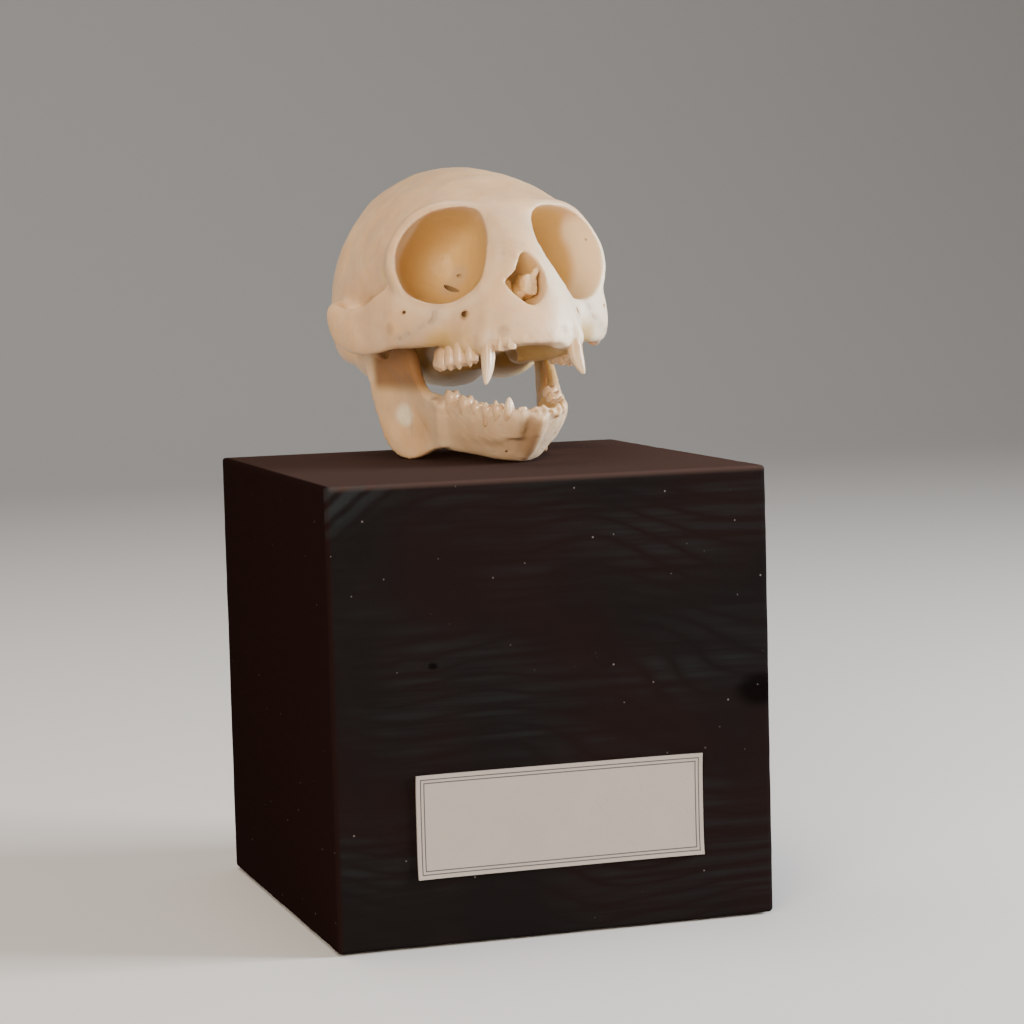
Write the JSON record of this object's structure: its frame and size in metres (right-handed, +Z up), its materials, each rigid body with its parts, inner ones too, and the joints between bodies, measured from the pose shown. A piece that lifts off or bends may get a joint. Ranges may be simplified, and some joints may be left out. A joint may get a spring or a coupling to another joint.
{
  "type": "mounted marmoset skull",
  "caption": "Life-size marmoset skull with its jaw open, resting on a dark stained wooden block with a ruled paper label.",
  "frame": {"origin": "centre of the wooden block's underside", "axes": "+Z up through the block to the skull, -Y towards the front that carries the label, +X to the animal's left"},
  "size_m": [0.05, 0.0631, 0.0841],
  "materials": {
    "bone": "satin",
    "stained_wood": "matte, dark stain",
    "paper": "matte"
  },
  "bodies": {
    "root": {"cranium": "bone", "mandible": "bone", "block": "stained_wood", "label": "paper"}
  },
  "joints": []
}
